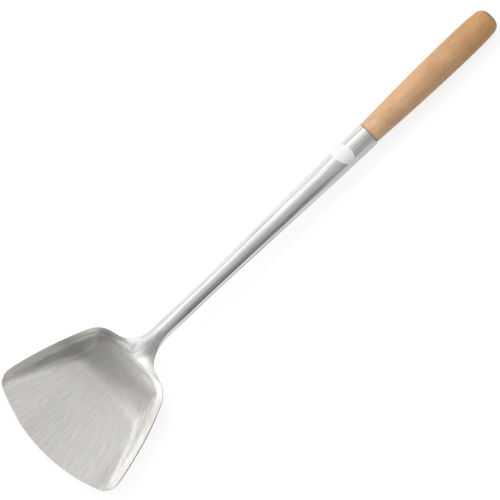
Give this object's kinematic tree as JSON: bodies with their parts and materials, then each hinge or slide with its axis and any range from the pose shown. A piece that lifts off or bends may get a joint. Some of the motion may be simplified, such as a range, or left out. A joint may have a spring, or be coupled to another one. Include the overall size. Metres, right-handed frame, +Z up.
{
  "type": "wok spatula",
  "caption": "Steel wok spatula: a deep pan-shaped blade with raised side walls, a rolled tapering shank and a turned wooden handle end, for stirring and lifting food.",
  "frame": {"origin": "centre of the bounding box's underside, on the plane the spatula rests on", "axes": "+X along the shank from the blade to the butt of the handle, +Z up from the resting plane with the hollow of the blade open to the top, +Y to the left when looking along +X"},
  "size_m": [0.45, 0.1182, 0.0236],
  "materials": {
    "sheet_steel": "finely brushed on the blade and polished on the shank",
    "turned_wood": "turned and sanded, without varnish",
    "nail_steel": "plain bright wire",
    "label_paper": "bare white paper"
  },
  "bodies": {
    "root": {"blade_and_shank": "sheet_steel", "wooden_handle": "turned_wood", "handle_nail": "nail_steel", "size_label": "label_paper"}
  },
  "joints": []
}
